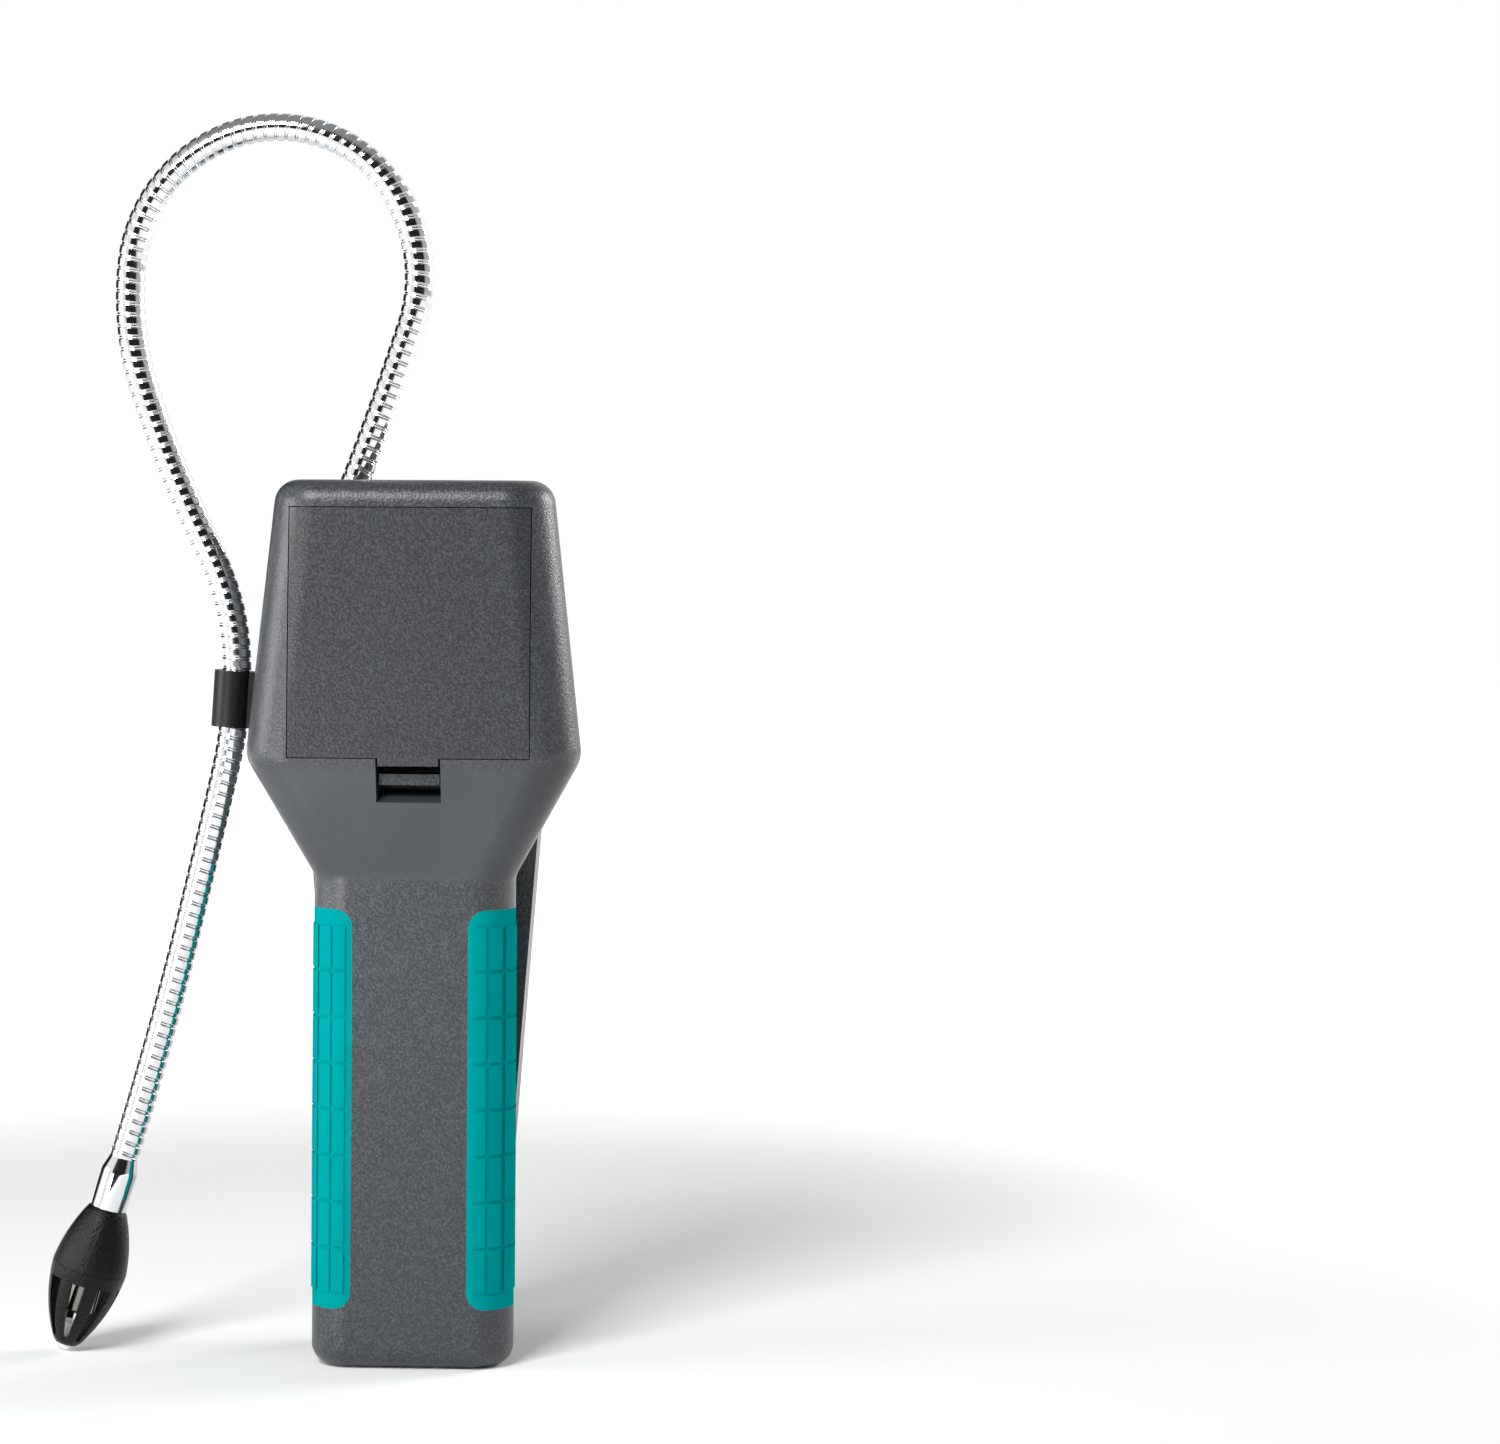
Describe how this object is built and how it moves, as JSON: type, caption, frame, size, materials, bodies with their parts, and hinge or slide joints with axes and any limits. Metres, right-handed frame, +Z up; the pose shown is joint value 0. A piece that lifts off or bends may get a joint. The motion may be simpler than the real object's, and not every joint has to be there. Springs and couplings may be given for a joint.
{
  "type": "combustible gas detector",
  "caption": "Handheld combustible gas detector with rubber grips, a battery cover, and a chrome gooseneck that bends over and down through a side clip to a slotted sensor head.",
  "frame": {"origin": "centre of the handle's flat base", "axes": "+Z up the body, +Y out of the back where the battery cover is, +X towards the side clip and the sensor head"},
  "size_m": [0.135, 0.0496, 0.313],
  "materials": {
    "housing": "spark-eroded dark grey moulded plastic",
    "panel": "fine satin overlay",
    "grip": "satin teal rubber",
    "cell": "plain gloss sleeve",
    "contact": "nickel-plated spring steel",
    "board": "lacquered laminate",
    "lens": "clear moulded lamp",
    "black_part": "satin black moulded plastic",
    "key": "satin teal key",
    "steel": "turned steel",
    "chrome": "bright chrome plate"
  },
  "bodies": {
    "housing": {"rear_housing": "housing", "front_housing": "housing", "front_panel": "panel", "grip_left": "grip", "grip_right": "grip", "battery_cell_1": "cell", "battery_cell_2": "cell", "battery_cell_3": "cell", "battery_cell_4": "cell", "contact_plates": "contact", "contact_springs": "contact", "main_board": "board", "level_lamps": "lens", "push_switches": "black_part", "sounder": "black_part", "housing_screws": "steel", "gooseneck": "chrome", "neck_bush": "steel", "side_clip": "black_part", "ferrule": "chrome", "sensor_shell": "black_part", "sensor_guard": "black_part", "sensor_mount_disc": "board", "sensor_can": "steel", "tip_lamp": "lens"},
    "lid": {"battery_cover": "housing"},
    "power_key": {"power_button": "key"},
    "sensitivity_key": {"sensitivity_button": "key"},
    "mute_key": {"mute_button": "key"}
  },
  "joints": [
    {"name": "lid_hinge", "type": "hinge", "parent": "housing", "child": "lid", "pos_m": [0, 0.0228, 0.2133], "axis": [1, 0, 0], "range_deg": [0, 60]},
    {"name": "power_key_press", "type": "slide", "parent": "housing", "child": "power_key", "axis": [0, 1, 0], "range_m": [0, 0.0008], "stiffness_N_per_m": 400},
    {"name": "sensitivity_key_press", "type": "slide", "parent": "housing", "child": "sensitivity_key", "axis": [0, 1, 0], "range_m": [0, 0.0008], "stiffness_N_per_m": 400},
    {"name": "mute_key_press", "type": "slide", "parent": "housing", "child": "mute_key", "axis": [0, 1, 0], "range_m": [0, 0.0008], "stiffness_N_per_m": 400}
  ]
}
